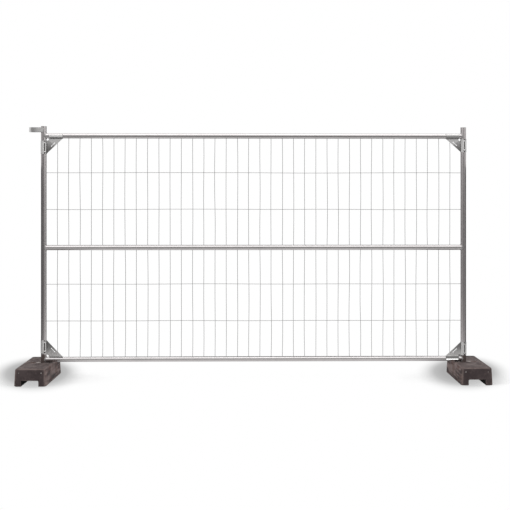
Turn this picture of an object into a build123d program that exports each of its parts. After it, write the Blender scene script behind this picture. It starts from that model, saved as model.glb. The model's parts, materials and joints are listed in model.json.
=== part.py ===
# Welded mesh fence panel: a round-tube frame with a wire mesh behind it, four folded corner
# gussets, a coupling hoop on one post and two moulded foot blocks that the posts stand in.
# X runs along the panel, Y goes through it with the front at -Y, Z is up from the ground.
import math
import os

from build123d import *

# Posts and rails, millimetres
post_spacing = 3430.0
post_radius = 22.5
post_wall = 1.5
rail_radius = 21.0
rail_wall = 1.2
rail_pitch = 911.0
weld_gap = 0.1

# Wire mesh
wire_radius = 1.75
wire_count = 36
wire_edge = 108.0
wire_tail = 8.0
strand_drops = (300.0, 600.0)
wire_seat = 0.05

# Corner gussets, folded from sheet and set by hand, so no two reach quite alike
sheet = 2.0
wrap_clearance = 0.15
rail_reach = {"top_left": 156.0, "top_right": 146.0, "bottom_left": 156.0, "bottom_right": 148.0}
post_reach = {"top_left": 147.0, "top_right": 130.0, "bottom_left": 159.0, "bottom_right": 136.0}
rail_wrap_lip = {"top_left": 10.5, "top_right": 15.0, "bottom_right": 5.5}
seam_shift = {"top_left": 10.0, "top_right": 4.0, "bottom_left": 10.0, "bottom_right": 4.0}
post_wrap_length = 107.0
rail_wrap_length = 109.0
wire_clearance = 2.6
seam_gap = 8.0
tack_height = 8.0
tack_inset = 15.0
tip_setback = 2.0
crease_depth = 5.0
relief_radius = 10.0
relief_overcut = 0.7
slot_length = 37.0
slot_width = 4.0
slot_end_radius = 4.0
slot_inset = 18.0

# Coupling hoop, bent from flat bar
hoop_thickness = 4.0
hoop_height = 37.0
hoop_lift = 10.0
hoop_overlap = 4.0
loop_radius = 27.0
left_post_stub = 10.0
right_post_stub = 4.0

# Foot blocks
foot_length = 680.0
foot_width = 254.0
foot_height = 140.0
foot_draft = 7.0
foot_corner = 30.0
foot_top_round = 18.0
channel_width = 134.0
channel_height = 46.0
channel_round = 9.0
foot_base_round = 6.0
socket_spacing = 88.0
socket_clearance = 1.5
socket_depth = 72.0
socket_lead = 2.0
pad_margin = 3.0
pad_height = 1.5
rail_foot_clearance = 3.5

# Plugs in the posts' lower ends
plug_flange = 4.0
plug_length = 30.0
plug_clearance = 0.05
plug_lead = 2.0

# Worked-out places
left_x = -post_spacing / 2
right_x = post_spacing / 2
bottom_rail_z = foot_height + rail_foot_clearance + rail_radius
middle_rail_z = bottom_rail_z + rail_pitch
top_rail_z = middle_rail_z + rail_pitch
socket_radius = post_radius + socket_clearance
pad_radius = socket_spacing / 2 - socket_radius - socket_lead - pad_margin
socket_floor_z = foot_height - socket_depth
post_bottom_z = socket_floor_z + plug_flange
hoop_bottom_z = top_rail_z + rail_radius + hoop_lift
hoop_top_z = hoop_bottom_z + hoop_height
wire_y = rail_radius + wire_seat + wire_radius
strand_y = wire_y - wire_seat - 2 * wire_radius
wire_pitch = (post_spacing - 2 * wire_edge) / (wire_count - 1)

os.makedirs("parts", exist_ok=True)


def save(solid, node):
    solid.label = node
    export_step(solid, f"parts/{node}.step")


def tube_section(radius, wall):
    Circle(radius)
    Circle(radius - wall, mode=Mode.SUBTRACT)


# Posts: plain tubes, the left one a little longer above its hoop
post_stubs = {"left_post": (left_x, left_post_stub), "right_post": (right_x, right_post_stub)}
for node, (post_x, stub) in post_stubs.items():
    with BuildPart() as post:
        with BuildSketch(Plane.XY.offset(post_bottom_z)):
            with Locations((post_x, 0)):
                tube_section(post_radius, post_wall)
        extrude(amount=hoop_top_z + stub - post_bottom_z)
    save(post.part, node)

# Rails: tubes whose ends are cut to the round of the posts
rail_heights = {"bottom_rail": bottom_rail_z, "middle_rail": middle_rail_z, "top_rail": top_rail_z}
for node, rail_z in rail_heights.items():
    with BuildPart() as rail:
        with BuildSketch(Plane.YZ):
            with Locations((0, rail_z)):
                tube_section(rail_radius, rail_wall)
        extrude(amount=post_spacing / 2, both=True)
        with BuildSketch(Plane.XY.offset(rail_z)):
            with Locations((left_x, 0), (right_x, 0)):
                Circle(post_radius + weld_gap)
        extrude(amount=2 * rail_radius, both=True, mode=Mode.SUBTRACT)
    save(rail.part, node)

# Upright wires, laid against the backs of the rails
for index in range(wire_count):
    with BuildPart() as wire:
        with BuildSketch(Plane.XY.offset(bottom_rail_z - wire_tail)):
            with Locations((left_x + wire_edge + index * wire_pitch, wire_y)):
                Circle(wire_radius)
        extrude(amount=top_rail_z - bottom_rail_z + 2 * wire_tail)
    save(wire.part, f"upright_wire_{index + 1:02d}")

# Cross wires, in front of the upright ones, with ends cut to the posts
strand_heights = [rail_z - drop for rail_z in (top_rail_z, middle_rail_z) for drop in strand_drops]
for index, strand_z in enumerate(strand_heights):
    with BuildPart() as strand:
        with BuildSketch(Plane.YZ):
            with Locations((strand_y, strand_z)):
                Circle(wire_radius)
        extrude(amount=post_spacing / 2, both=True)
        with BuildSketch(Plane.XY.offset(strand_z)):
            with Locations((left_x, 0), (right_x, 0)):
                Circle(post_radius + weld_gap)
        extrude(amount=2 * wire_radius, both=True, mode=Mode.SUBTRACT)
    save(strand.part, f"cross_wire_{index + 1}")

# Corner gussets: a creased web between a split sleeve on the post and a sleeve on the rail
post_wrap_inner = post_radius + wrap_clearance
post_wrap_outer = post_wrap_inner + sheet
rail_wrap_inner = rail_radius + wrap_clearance
rail_wrap_outer = rail_wrap_inner + sheet
# the one sleeve that lies at the back stops where it would come near the upright wires
back_wrap_lip = math.sqrt(rail_wrap_outer**2 - (rail_radius - wire_clearance) ** 2)
relief_inset = (relief_radius - relief_overcut) / math.sqrt(2)


def gusset(corner_name, post_x, inward, rail_z, away):
    # inward is the way along the rail, away is the way up or down the post
    corner = Vector(post_x + inward * (post_wrap_inner + sheet / 2), 0,
                    rail_z + away * (rail_wrap_inner + sheet / 2))
    rail_tip = Vector(post_x + inward * (rail_reach[corner_name] - tip_setback), 0, corner.Z)
    post_tip = Vector(corner.X, 0, rail_z + away * (post_reach[corner_name] - tip_setback))
    middle = (rail_tip + post_tip) * 0.5
    ridge = middle - Vector(0, crease_depth, 0)
    slot_middle = middle - Vector(inward, 0, away).normalized() * slot_inset
    slot_angle = math.degrees(math.atan2(post_tip.Z - rail_tip.Z, post_tip.X - rail_tip.X))
    with BuildPart() as bracket:
        for tip, other in ((rail_tip, ridge), (ridge, post_tip)):
            plane = Plane(corner, x_dir=tip - corner, z_dir=(tip - corner).cross(other - corner))
            with BuildSketch(plane):
                with BuildLine():
                    Polyline(*[plane.to_local_coords(point) for point in (corner, tip, other)], close=True)
                make_face()
            extrude(amount=sheet / 2, both=True, dir=(0, 1, 0))
        with BuildSketch(Plane.XZ):
            with Locations((corner.X + inward * relief_inset, corner.Z + away * relief_inset)):
                Circle(relief_radius)
            with Locations(Location((slot_middle.X, slot_middle.Z), slot_angle)):
                Rectangle(slot_length, slot_width)
                with GridLocations(slot_length, 0, 2, 1):
                    Circle(slot_end_radius)
        extrude(amount=crease_depth + sheet, both=True, mode=Mode.SUBTRACT)
        # the post's sleeve is split down its front, and two tacks close it again
        sleeve_end = rail_z + away * post_reach[corner_name]
        seam_x = post_x + seam_shift[corner_name]
        with BuildSketch(Plane.XY.offset(sleeve_end)):
            with Locations((post_x, 0)):
                tube_section(post_wrap_outer, sheet)
            with Locations((seam_x, -post_wrap_outer)):
                Rectangle(seam_gap, post_wrap_outer, mode=Mode.SUBTRACT)
        extrude(amount=-away * post_wrap_length)
        for tack_place in (tack_inset, post_wrap_length - tack_inset - tack_height):
            with BuildSketch(Plane.XY.offset(sleeve_end - away * tack_place)):
                with Locations((post_x, 0)):
                    tube_section(post_wrap_outer, sheet)
                with Locations((seam_x, -post_wrap_outer)):
                    Rectangle(2 * seam_gap, post_wrap_outer, mode=Mode.INTERSECT)
            extrude(amount=-away * tack_height)
        # the rail's sleeve goes from the web round one face of the rail to its lip
        at_front = corner_name in rail_wrap_lip
        lip = -rail_wrap_lip[corner_name] if at_front else back_wrap_lip
        side = -1 if at_front else 1
        height = rail_wrap_outer - lip
        with BuildSketch(Plane.YZ.offset(post_x + inward * rail_reach[corner_name])):
            with Locations((0, rail_z)):
                tube_section(rail_wrap_outer, sheet)
            with Locations((side * (rail_wrap_outer - sheet / 2) / 2, rail_z + away * (lip + height / 2))):
                Rectangle(rail_wrap_outer + sheet / 2, height, mode=Mode.INTERSECT)
        extrude(amount=-inward * rail_wrap_length)
    return bracket.part


gusset_places = {
    "top_left": (left_x, 1, top_rail_z, -1),
    "top_right": (right_x, -1, top_rail_z, -1),
    "bottom_left": (left_x, 1, bottom_rail_z, 1),
    "bottom_right": (right_x, -1, bottom_rail_z, 1),
}
for corner_name, place in gusset_places.items():
    save(gusset(corner_name, *place), f"{corner_name}_gusset")

# Coupling hoop: flat bar bent round the place of the next panel's post, its legs closing on this post
own_radius = post_radius + weld_gap
loop_x = left_x - socket_spacing
lean = (loop_radius - own_radius) / socket_spacing
normal = Vector(-lean, math.sqrt(1 - lean**2))
along = Vector(math.sqrt(1 - lean**2), lean)


def hoop_line(offset):
    # the bar's line on the back side, from the post to the loop, at an offset from its inner face
    leg_end = Vector(left_x, 0) + normal * (own_radius + offset) + along * hoop_overlap
    bend = Vector(loop_x, 0) + normal * (loop_radius + offset)
    return leg_end, bend


def front(point):
    return Vector(point.X, -point.Y)


with BuildPart() as hoop:
    with BuildSketch(Plane.XY.offset(hoop_bottom_z)):
        inner_end, inner_bend = hoop_line(0)
        outer_end, outer_bend = hoop_line(hoop_thickness)
        with BuildLine():
            Line(inner_end, inner_bend)
            ThreePointArc(inner_bend, (loop_x - loop_radius, 0), front(inner_bend))
            Line(front(inner_bend), front(inner_end))
            Line(front(inner_end), front(outer_end))
            Line(front(outer_end), front(outer_bend))
            ThreePointArc(front(outer_bend), (loop_x - loop_radius - hoop_thickness, 0), outer_bend)
            Line(outer_bend, outer_end)
            Line(outer_end, inner_end)
        make_face()
    extrude(amount=hoop_height)
save(hoop.part, "coupling_hoop")

# Plugs: each closes a post's lower end and bears on the floor of the foot's socket
for node, post_x in {"left_post_plug": left_x, "right_post_plug": right_x}.items():
    with BuildPart() as plug:
        with BuildSketch(Plane.XY.offset(socket_floor_z)):
            with Locations((post_x, 0)):
                Circle(post_radius)
        extrude(amount=plug_flange)
        with BuildSketch(Plane.XY.offset(post_bottom_z)):
            with Locations((post_x, 0)):
                Circle(post_radius - post_wall - plug_clearance)
        extrude(amount=plug_length)
        chamfer(plug.edges().filter_by(GeomType.CIRCLE).sort_by(Axis.Z)[-1], plug_lead)
    save(plug.part, node)

# Foot blocks: tapered, with a channel along the underside and two blind sockets across the middle
for node, (post_x, outward) in {"left_foot": (left_x, -1), "right_foot": (right_x, 1)}.items():
    middle_x = post_x + outward * socket_spacing / 2
    with BuildPart() as foot:
        with BuildSketch(Plane.XY):
            with Locations((middle_x, 0)):
                RectangleRounded(foot_width, foot_length, foot_corner)
        with BuildSketch(Plane.XY.offset(foot_height)):
            with Locations((middle_x, 0)):
                RectangleRounded(foot_width - 2 * foot_draft, foot_length - 2 * foot_draft, foot_corner)
        loft()
        fillet(foot.faces().sort_by(Axis.Z)[-1].edges(), foot_top_round)
        with BuildSketch(Plane.XZ):
            with Locations((middle_x, channel_height / 2)):
                channel = Rectangle(channel_width, channel_height)
            fillet(channel.vertices().group_by(Axis.Y)[-1], channel_round)
        extrude(amount=foot_length, both=True, mode=Mode.SUBTRACT)
        fillet(foot.edges().group_by(Axis.Z)[0], foot_base_round)
        with BuildSketch(Plane.XY.offset(foot_height)):
            with Locations((middle_x, 0)):
                Circle(pad_radius)
        extrude(amount=pad_height)
        with BuildSketch(Plane.XY.offset(foot_height)):
            with Locations((middle_x, 0)):
                with GridLocations(socket_spacing, 0, 2, 1):
                    Circle(socket_radius)
        extrude(amount=-socket_depth, mode=Mode.SUBTRACT)
        chamfer(foot.edges(Select.LAST).group_by(Axis.Z)[-1], socket_lead)
    save(foot.part, node)
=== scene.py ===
import json
import math
import random

import bmesh
import bpy
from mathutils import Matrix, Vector

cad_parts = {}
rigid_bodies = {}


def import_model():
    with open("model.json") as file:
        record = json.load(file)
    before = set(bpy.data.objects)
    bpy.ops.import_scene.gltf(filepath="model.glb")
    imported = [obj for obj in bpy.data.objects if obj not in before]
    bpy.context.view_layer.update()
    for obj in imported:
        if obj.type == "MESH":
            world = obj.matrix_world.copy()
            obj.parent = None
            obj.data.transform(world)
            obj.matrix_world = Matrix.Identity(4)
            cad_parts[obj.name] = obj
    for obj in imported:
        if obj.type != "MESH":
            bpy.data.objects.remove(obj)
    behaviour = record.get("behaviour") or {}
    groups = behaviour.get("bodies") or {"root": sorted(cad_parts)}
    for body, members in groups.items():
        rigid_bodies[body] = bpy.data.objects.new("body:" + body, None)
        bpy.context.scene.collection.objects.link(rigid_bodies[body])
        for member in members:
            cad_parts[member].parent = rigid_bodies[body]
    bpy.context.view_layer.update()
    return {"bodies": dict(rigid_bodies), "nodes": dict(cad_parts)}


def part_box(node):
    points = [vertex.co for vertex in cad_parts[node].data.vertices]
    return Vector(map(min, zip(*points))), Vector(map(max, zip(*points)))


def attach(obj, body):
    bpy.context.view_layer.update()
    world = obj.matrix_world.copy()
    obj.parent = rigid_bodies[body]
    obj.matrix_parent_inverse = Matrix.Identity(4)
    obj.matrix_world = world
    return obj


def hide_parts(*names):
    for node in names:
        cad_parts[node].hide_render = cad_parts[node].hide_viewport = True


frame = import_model()
nodes = frame["nodes"]
scene = bpy.context.scene
mm = 0.001  # lengths are in metres and angles in degrees
print("frame loaded:", len(nodes), "nodes")

# the panel's own places, read off the CAD nodes
leftPostLow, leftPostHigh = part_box("left_post")
rightPostLow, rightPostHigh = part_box("right_post")
leftX = (leftPostLow.x + leftPostHigh.x) / 2
rightX = (rightPostLow.x + rightPostHigh.x) / 2
postRadius = (leftPostHigh.x - leftPostLow.x) / 2
railNames = ("bottom_rail", "middle_rail", "top_rail")
railHeights = [sum(corner.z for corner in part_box(name)) / 2 for name in railNames]
railRadius = (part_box("top_rail")[1].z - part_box("top_rail")[0].z) / 2


# mesh helpers

def addPiece(name, verts, faces, material, slot, body):
    mesh = bpy.data.meshes.new(name)
    mesh.from_pydata([tuple(v) for v in verts], [], faces)
    bm = bmesh.new()
    bm.from_mesh(mesh)
    bmesh.ops.recalc_face_normals(bm, faces=bm.faces)
    bm.to_mesh(mesh)
    bm.free()
    piece = bpy.data.objects.new(name, mesh)
    scene.collection.objects.link(piece)
    for face in mesh.polygons:
        face.use_smooth = True
    mesh.materials.append(material)
    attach(piece, body)
    return piece


def sweep(path, radii, sides, closed=False):
    # rings of a round section carried along a path, with flat ends unless it is closed
    verts, faces = [], []
    count = len(path)
    side = None
    for i, point in enumerate(path):
        before = path[i - 1] if (closed or i) else path[i]
        after = path[(i + 1) % count] if (closed or i < count - 1) else path[i]
        tangent = (after - before).normalized()
        if side is None:
            side = tangent.orthogonal().normalized()
        side = (side - tangent * side.dot(tangent)).normalized()
        up = tangent.cross(side)
        for k in range(sides):
            turn = 2 * math.pi * k / sides
            verts.append(point + (side * math.cos(turn) + up * math.sin(turn)) * radii[i])
    rings = count if closed else count - 1
    for i in range(rings):
        a, b = i * sides, ((i + 1) % count) * sides
        for k in range(sides):
            n = (k + 1) % sides
            faces.append((a + k, a + n, b + n, b + k))
    if not closed:
        faces.append(tuple(reversed(range(sides))))
        faces.append(tuple((count - 1) * sides + k for k in range(sides)))
    return verts, faces


def gather(parts):
    # several meshes as one list of vertices and faces
    verts, faces = [], []
    for partVerts, partFaces in parts:
        base = len(verts)
        verts += partVerts
        faces += [tuple(base + i for i in face) for face in partFaces]
    return verts, faces


def thinPlate(pointAt, uCount, vCount, thickness):
    # a thin curved plate over a grid of points, closed all round
    verts, faces = [], []
    for off in (0.0, thickness):
        for i in range(uCount + 1):
            verts += [pointAt(i / uCount, j / vCount, off) for j in range(vCount + 1)]
    layer = (uCount + 1) * (vCount + 1)

    def corner(i, j, k):
        return k * layer + i * (vCount + 1) + j
    for i in range(uCount):
        for j in range(vCount):
            quad = (corner(i, j, 1), corner(i + 1, j, 1), corner(i + 1, j + 1, 1), corner(i, j + 1, 1))
            faces += [quad, tuple(v - layer for v in reversed(quad))]
    rim = [(i, 0) for i in range(uCount)] + [(uCount, j) for j in range(vCount)]
    rim += [(i, vCount) for i in range(uCount, 0, -1)] + [(0, j) for j in range(vCount, 0, -1)]
    for a, b in zip(rim, rim[1:] + rim[:1]):
        faces.append((corner(*a, 0), corner(*b, 0), corner(*b, 1), corner(*a, 1)))
    return verts, faces


weldLook = {"ripple": 0.13, "jitter": 0.05, "endShare": 0.45, "endRise": 0.4, "sides": 10, "lumps": 0.1}


def weldBead(path, radius, pitch, rng, closed=False):
    # a run of weld metal: overlapping ripples, thinner where it starts and stops
    lengths = [0.0]
    for a, b in zip(path, path[1:]):
        lengths.append(lengths[-1] + (b - a).length)
    radii = []
    for s in lengths:
        ripple = 1 + weldLook["ripple"] * abs(math.sin(math.pi * s / pitch))
        ripple += rng.uniform(-weldLook["jitter"], weldLook["jitter"])
        taper = 1.0
        if not closed:
            edge = min(s, lengths[-1] - s) / radius
            taper = min(1.0, weldLook["endShare"] + weldLook["endRise"] * edge)
        radii.append(radius * ripple * taper)
    return sweep(path, radii, weldLook["sides"], closed)


def weldNugget(place, reach, rng):
    # a small squashed lump of weld metal
    bm = bmesh.new()
    bmesh.ops.create_icosphere(bm, subdivisions=2, radius=1.0)
    for v in bm.verts:
        swell = 1 + rng.uniform(-weldLook["lumps"], weldLook["lumps"])
        v.co = Vector((v.co.x * reach[0], v.co.y * reach[1], v.co.z * reach[2])) * swell + place
    bm.verts.ensure_lookup_table()
    verts = [v.co.copy() for v in bm.verts]
    faces = [tuple(v.index for v in face.verts) for face in bm.faces]
    bm.free()
    return verts, faces


# node helpers: a socket knows the tree it is in, so most of them are given sockets alone

def feed(socket, value):
    # a link or a fixed value; colours are written without their alpha
    if isinstance(value, bpy.types.NodeSocket):
        socket.id_data.links.new(value, socket)
    elif socket.type == "RGBA":
        socket.default_value = (*value, 1)
    else:
        socket.default_value = value


def put(tree, kind, **settings):
    # a node, with its inputs and its own options set
    node = tree.nodes.new(kind)
    for key, value in settings.items():
        label = key.replace("_", " ")
        if label in node.inputs:
            feed(node.inputs[label], value)
        else:
            setattr(node, key, value)
    return node


def treeOf(*values):
    return next(value.id_data for value in values if isinstance(value, bpy.types.NodeSocket))


def maths(operation, a, b=None, clamp=False):
    node = put(treeOf(a, b), "ShaderNodeMath", operation=operation, use_clamp=clamp)
    feed(node.inputs[0], a)
    if b is not None:
        feed(node.inputs[1], b)
    return node.outputs[0]


def plus(a, b, clamp=False):
    return maths("ADD", a, b, clamp)


def minus(a, b):
    return maths("SUBTRACT", a, b)


def times(a, b, clamp=False):
    return maths("MULTIPLY", a, b, clamp)


def vectorMaths(operation, a, b=None):
    node = put(a.id_data, "ShaderNodeVectorMath", operation=operation)
    feed(node.inputs[0], a)
    if b is not None:
        feed(node.inputs[1], b)
    return node.outputs


def blend(share, under, over, mode="MIX"):
    node = put(treeOf(share, under, over), "ShaderNodeMix", data_type="RGBA", blend_type=mode)
    for socket, value in ((node.inputs[0], share), (node.inputs[6], under), (node.inputs[7], over)):
        feed(socket, value)
    return node.outputs[2]


def spread(value, start, end, outStart=0.0, outEnd=1.0):
    # a smooth step between two limits, with what is put out at each
    node = put(value.id_data, "ShaderNodeMapRange", interpolation_type="SMOOTHSTEP")
    for socket, given in zip(node.inputs, (value, start, end, outStart, outEnd)):
        feed(socket, given)
    return node.outputs[0]


def window(value, start, full, fade, end, share):
    # up between start and full, down again between fade and end
    return times(spread(value, start, full, 0.0, share), spread(value, end, fade))


def noise(coords, scale, detail, rough=0.55):
    node = put(coords.id_data, "ShaderNodeTexNoise", Vector=coords, Scale=scale, Detail=detail,
               Roughness=rough)
    return node.outputs["Fac"]


def stretched(coords, scale, slant=0.0):
    # coordinates scaled along each axis and turned about X, in degrees
    turn = (math.radians(slant), 0, 0)
    return put(coords.id_data, "ShaderNodeMapping", Vector=coords, Scale=scale, Rotation=turn).outputs[0]


def slantNoise(coords, scale, slant, detail, rough=0.55):
    return noise(stretched(coords, scale, slant), 1.0, detail, rough)


def offMiddle(value, amount):
    # how far a pattern from 0 to 1 is off its middle
    return times(minus(value, 0.5), amount)


def axes(vector):
    return put(vector.id_data, "ShaderNodeSeparateXYZ", Vector=vector).outputs


def facing(tree):
    return put(tree, "ShaderNodeNewGeometry").outputs["Normal"]


def effect(group, coords, **values):
    return put(coords.id_data, "ShaderNodeGroup", node_tree=group, Coords=coords, **values).outputs


treeLook = {"column": 220, "row": 280}


def layOut(tree):
    # nodes in columns, each to the left of all that it feeds
    columns = {node.name: 0 for node in tree.nodes}
    moved = True
    while moved:
        moved = False
        for link in tree.links:
            column = columns[link.to_node.name] + 1
            if columns[link.from_node.name] < column:
                columns[link.from_node.name] = column
                moved = True
    rows = {}
    for node in tree.nodes:
        column = columns[node.name]
        rows[column] = rows.get(column, 0) + 1
        node.location = (-treeLook["column"] * column, -treeLook["row"] * rows[column])


def newGroup(name, inputs, outputs):
    # inputs are given with their first values, and coordinates with none
    tree = bpy.data.node_groups.new(name, "ShaderNodeTree")
    for label, value in inputs.items():
        kind = "Vector" if value is None else "Color" if isinstance(value, tuple) else "Float"
        socket = tree.interface.new_socket(label, in_out="INPUT", socket_type="NodeSocket" + kind)
        if kind == "Color":
            socket.default_value = (*value, 1)
        elif kind == "Float":
            socket.default_value = value
    for label, kind in outputs.items():
        tree.interface.new_socket(label, in_out="OUTPUT", socket_type="NodeSocket" + kind)
    return tree, put(tree, "NodeGroupInput").outputs


def closeGroup(tree, **results):
    end = put(tree, "NodeGroupOutput")
    for label, value in results.items():
        feed(end.inputs[label], value)
    layOut(tree)
    return tree


def newMaterial(name):
    material = bpy.data.materials.new(name)
    material.use_nodes = True
    coords = put(material.node_tree, "ShaderNodeTexCoord").outputs["Object"]
    return material, coords


def setSkin(material, skin, height, bump):
    # what has been made goes to the shader's sockets, with the fine relief
    tree = material.node_tree
    shader = tree.nodes["Principled BSDF"]
    strength, distance = bump
    relief = put(tree, "ShaderNodeBump", Strength=strength, Distance=distance, Height=height)
    for label, value in {**skin, "Normal": relief.outputs["Normal"]}.items():
        feed(shader.inputs[label], value)
    layOut(tree)
    return material


# shared effects; noises are given as scale, detail and roughness

skinLook = {"streaks": (1.0, 5.0), "clouds": (7.0, 6.0, 0.62), "bloom": (23.0, 5.0, 0.7),
            "bloomLimits": (0.56, 0.74), "bloomTone": (0.56, 0.56, 0.55), "grain": (420.0, 3.0),
            "grainRough": 0.25, "roughBase": 0.85, "streakHeight": 0.6}
# the patches of rub and dust have their scale from the group's input
rubLook = {"samples": 6, "edge": (0.995, 0.86), "patches": (5.0, 0.5), "patchLimits": (0.36, 0.62)}
dustLook = {"upward": (0.35, 0.95), "patches": (7.0, 0.68), "patchLimits": (0.32, 0.68, 0.15, 1.0)}
grimeAndShadeLook = {"samples": 6, "crevice": (0.72, 0.30), "under": (-0.30, -0.72), "patches": (70.0, 4.0),
             "patchLimits": (0.25, 0.6, 0.55, 1.0)}


def zincSkinGroup():
    # hot-dip zinc: spangle, drawn streaks, cloudy patina and a fine grain
    look = skinLook
    tree, given = newGroup(
        "zincSkin",
        {"Coords": None, "Drawn Coords": None, "Spangle Scale": 60.0, "Spangle": 0.3, "Streak": 0.4,
         "Patina": 0.4, "Bright": (0.6, 0.6, 0.6), "Dull": (0.4, 0.4, 0.4)},
        {"Colour": "Color", "Rough": "Float", "Bloom": "Float", "Height": "Float"})
    coords = given["Coords"]
    cells = put(tree, "ShaderNodeTexVoronoi", Vector=coords, Scale=given["Spangle Scale"])
    cellTone = put(tree, "ShaderNodeSeparateColor", Color=cells.outputs["Color"]).outputs[0]
    spangle = offMiddle(cellTone, given["Spangle"])
    streak = offMiddle(noise(given["Drawn Coords"], *look["streaks"]), given["Streak"])
    clouds = offMiddle(noise(coords, *look["clouds"]), given["Patina"])
    tone = plus(plus(plus(spangle, streak), clouds), 0.5, True)
    colour = blend(tone, given["Dull"], given["Bright"])
    bloom = spread(noise(coords, *look["bloom"]), *look["bloomLimits"])
    bloom = times(bloom, given["Patina"])
    colour = blend(bloom, colour, look["bloomTone"])
    grain = noise(coords, *look["grain"])
    rough = plus(minus(times(grain, look["grainRough"]), tone), look["roughBase"], True)
    height = plus(plus(times(streak, look["streakHeight"]), grain), spangle)
    return closeGroup(tree, Colour=colour, Rough=rough, Bloom=bloom, Height=height)


def grimeAndShadeGroup():
    # dirt and painted shade in crevices, from ambient occlusion, and painted shade on what faces down
    look = grimeAndShadeLook
    tree, given = newGroup(
        "grimeAndShade",
        {"Coords": None, "Reach": 0.02, "Crevice": 0.6, "Underside": 0.0},
        {"Mask": "Float"})
    shade = put(tree, "ShaderNodeAmbientOcclusion", samples=look["samples"], Distance=given["Reach"])
    crevice = times(spread(shade.outputs["AO"], *look["crevice"]), given["Crevice"])
    under = times(spread(axes(facing(tree))["Z"], *look["under"]), given["Underside"])
    patches = spread(noise(given["Coords"], *look["patches"]), *look["patchLimits"])
    return closeGroup(tree, Mask=times(maths("MAXIMUM", crevice, under), patches, True))


def edgeRubGroup():
    # where corners are rubbed: the rounded normal leaves the true one there
    look = rubLook
    tree, given = newGroup(
        "edgeRub",
        {"Coords": None, "Reach": 0.004, "Breakup Scale": 60.0},
        {"Mask": "Float"})
    rounded = put(tree, "ShaderNodeBevel", samples=look["samples"], Radius=given["Reach"]).outputs["Normal"]
    edge = spread(vectorMaths("DOT_PRODUCT", rounded, facing(tree))["Value"], *look["edge"])
    patches = noise(given["Coords"], given["Breakup Scale"], *look["patches"])
    return closeGroup(tree, Mask=times(edge, spread(patches, *look["patchLimits"]), True))


def settledDustGroup():
    # dust that lies on what faces up, thicker in patches
    look = dustLook
    tree, given = newGroup(
        "settledDust",
        {"Coords": None, "Patch Scale": 14.0, "Cover": 0.5},
        {"Mask": "Float"})
    upward = spread(axes(facing(tree))["Z"], *look["upward"])
    patches = noise(given["Coords"], given["Patch Scale"], *look["patches"])
    mask = times(upward, spread(patches, *look["patchLimits"]))
    return closeGroup(tree, Mask=times(mask, given["Cover"], True))


zincSkin = zincSkinGroup()
grimeAndShade = grimeAndShadeGroup()
edgeRub = edgeRubGroup()
settledDust = settledDustGroup()
print("shared effects made")


# zinc finishes; limits are given as from, to and the shares there, and a cover's
# dulling as what it takes off the metal and adds to the roughness

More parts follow.
